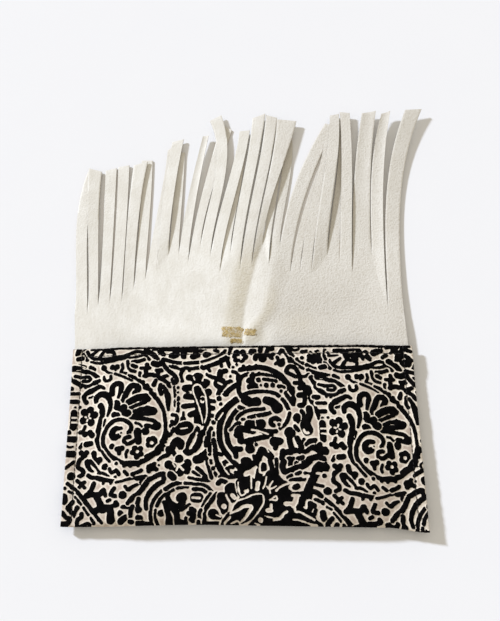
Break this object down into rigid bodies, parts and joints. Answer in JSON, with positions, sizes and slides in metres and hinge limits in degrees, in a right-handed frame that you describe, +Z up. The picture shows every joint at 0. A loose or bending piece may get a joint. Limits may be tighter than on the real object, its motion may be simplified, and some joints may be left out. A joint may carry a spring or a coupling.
{
  "type": "fringed clutch",
  "caption": "Flat clutch bag lying open on its back: a paisley cloth pouch with an open mouth, and an ivory suede flap cut into a long fringe.",
  "frame": {"origin": "middle of the whole clutch's box, on the surface that it lies on", "axes": "+X along the mouth to the right, +Y from the pouch towards the fringe, +Z up from the surface"},
  "size_m": [0.2972, 0.3588, 0.0125],
  "materials": {
    "printed_cloth": "cream cloth with a black flocked paisley, matt",
    "ivory_suede": "brushed suede nap, matt"
  },
  "bodies": {
    "root": {"front_panel": "printed_cloth", "back_panel": "printed_cloth", "fringed_flap": "ivory_suede"}
  },
  "joints": []
}
